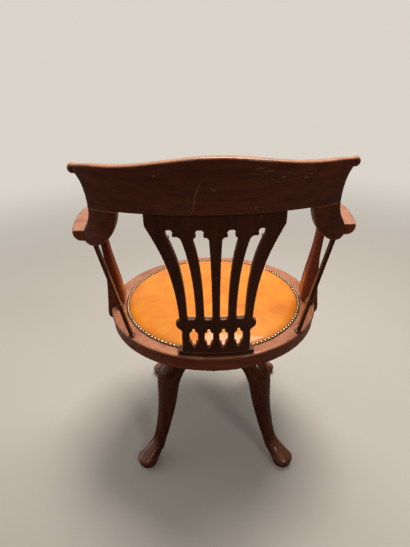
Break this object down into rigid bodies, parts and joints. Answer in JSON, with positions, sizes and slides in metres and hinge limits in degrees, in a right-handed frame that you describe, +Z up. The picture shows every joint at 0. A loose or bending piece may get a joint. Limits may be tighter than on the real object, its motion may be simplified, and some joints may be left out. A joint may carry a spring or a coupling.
{
  "type": "bankers swivel chair",
  "caption": "Round leather seat on a wooden ring with a pierced splat, a bowed crest rail, short arms and four cabriole legs, turning and rising on a screw spindle.",
  "frame": {"origin": "on the floor, below the middle of the chair's outline", "axes": "+Z up, +Y to the back of the chair, +X to the sitter's left"},
  "size_m": [0.5912, 0.5421, 0.858],
  "materials": {
    "mahogany": "gloss",
    "beech": "matte",
    "cast_iron": "painted",
    "steel": "satin",
    "jute": "matte",
    "hessian": "matte",
    "horsehair": "matte",
    "leather": "gloss",
    "brass": "polished"
  },
  "bodies": {
    "base": {"base_hub": "mahogany", "base_socket": "cast_iron", "socket_screws": "steel", "leg_dowels": "beech", "leg_rear_left": "mahogany", "leg_rear_right": "mahogany", "leg_front_left": "mahogany", "leg_front_right": "mahogany", "foot_disc_rear_left": "mahogany", "foot_disc_rear_right": "mahogany", "foot_disc_front_left": "mahogany", "foot_disc_front_right": "mahogany"},
    "turntable": {"keyed_washer": "steel"},
    "handwheel": {"hand_wheel": "cast_iron"},
    "seat": {"crest_rail": "mahogany", "ear_left": "mahogany", "ear_right": "mahogany", "splat": "mahogany", "splat_shoe": "mahogany", "arm_left": "mahogany", "arm_right": "mahogany", "arm_post_left": "mahogany", "arm_post_right": "mahogany", "rear_upright_left": "mahogany", "rear_upright_right": "mahogany", "seat_ring_left": "mahogany", "seat_ring_back": "mahogany", "seat_ring_right": "mahogany", "seat_ring_front": "mahogany", "ring_dowels": "beech", "ear_dowels": "beech", "arm_dowels": "beech", "post_plugs": "mahogany", "post_screws": "steel", "shoe_screws": "steel", "webbing_across": "jute", "webbing_lengthwise": "jute", "seat_hessian": "hessian", "seat_stuffing": "horsehair", "leather_cover": "leather", "upholstery_nails": "brass", "seat_spider": "cast_iron", "spider_screws": "steel", "spider_pin": "steel", "spindle": "steel", "stop_washer": "steel", "stop_pin": "steel"}
  },
  "joints": [
    {"name": "seat_swivel", "type": "hinge", "parent": "base", "child": "turntable", "pos_m": [0, -0.0155, 0.3], "axis": [0, 0, 1], "continuous": true},
    {"name": "seat_height", "type": "slide", "parent": "turntable", "child": "seat", "axis": [0, 0, 1], "range_m": [-0.012, 0.05]},
    {"name": "wheel_turn", "type": "hinge", "parent": "turntable", "child": "handwheel", "pos_m": [0, -0.0155, 0.34], "axis": [0, 0, 1], "range_deg": [-542, 2252]}
  ],
  "couplings": [
    {"joint": "wheel_turn", "follows": "seat_height", "rad_per_m": 785.4}
  ]
}
